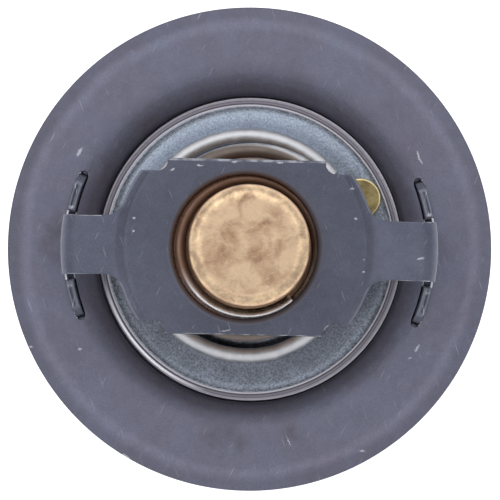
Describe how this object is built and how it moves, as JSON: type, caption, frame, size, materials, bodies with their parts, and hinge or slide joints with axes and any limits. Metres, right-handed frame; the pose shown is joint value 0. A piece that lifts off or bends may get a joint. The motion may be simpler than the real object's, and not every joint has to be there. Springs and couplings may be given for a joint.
{
  "type": "engine thermostat",
  "caption": "Wax-element thermostat for an engine's cooling circuit: round flange with a spring-closed disc valve, brass cup, spring yoke, outlet bridge and vent pin.",
  "frame": {"origin": "on the valve's axis, at half the height of the flange's cylindrical edge", "axes": "+Z along the valve's axis towards the brass cup, the hot engine side; X along the arms of the spring yoke; Y across them; drawn closed and cold"},
  "size_m": [0.067, 0.067, 0.0511],
  "materials": {
    "flange_steel": "dark phosphated steel pressing, satin",
    "yoke_steel": "dark phosphated steel pressing, satin",
    "bridge_steel": "dark phosphated steel pressing, satin",
    "plated_disc_steel": "zinc-plated steel pressing, clear passivated",
    "spring_wire": "drawn stainless spring wire",
    "cup_brass": "drawn brass, tumbled, slightly tarnished",
    "guide_brass": "turned brass",
    "pin_brass": "turned brass, olive tarnish",
    "weight_brass": "turned brass",
    "piston_steel": "ground stainless pin",
    "clip_steel": "spring steel, oiled",
    "wax": "wax filled with metal powder",
    "diaphragm_rubber": "moulded rubber",
    "plug_rubber": "moulded rubber",
    "seal_rubber": "moulded rubber",
    "white_plastic": "fluoropolymer disc"
  },
  "bodies": {
    "frame": {"flange_plate": "flange_steel", "outlet_bridge": "bridge_steel", "spring_yoke": "yoke_steel", "valve_spring": "spring_wire", "piston": "piston_steel", "anti_extrusion_disc": "white_plastic"},
    "valve": {"valve_disc": "plated_disc_steel", "wax_cup": "cup_brass", "wax_charge": "wax", "diaphragm": "diaphragm_rubber", "guide_body": "guide_brass", "transfer_plug": "plug_rubber", "wiper_seal": "seal_rubber", "retaining_clip": "clip_steel"},
    "vent_pin": {"jiggle_pin": "pin_brass", "pin_weight": "weight_brass"}
  },
  "joints": [
    {"name": "valve_lift", "type": "slide", "parent": "frame", "child": "valve", "axis": [0, 0, 1], "range_m": [0, 0.008], "stiffness_N_per_m": 3700, "springref_m": -0.003, "deforming": ["valve_spring"]},
    {"name": "vent_pin_play", "type": "slide", "parent": "valve", "child": "vent_pin", "axis": [0, 0, 1], "range_m": [0, 0.0007]}
  ]
}
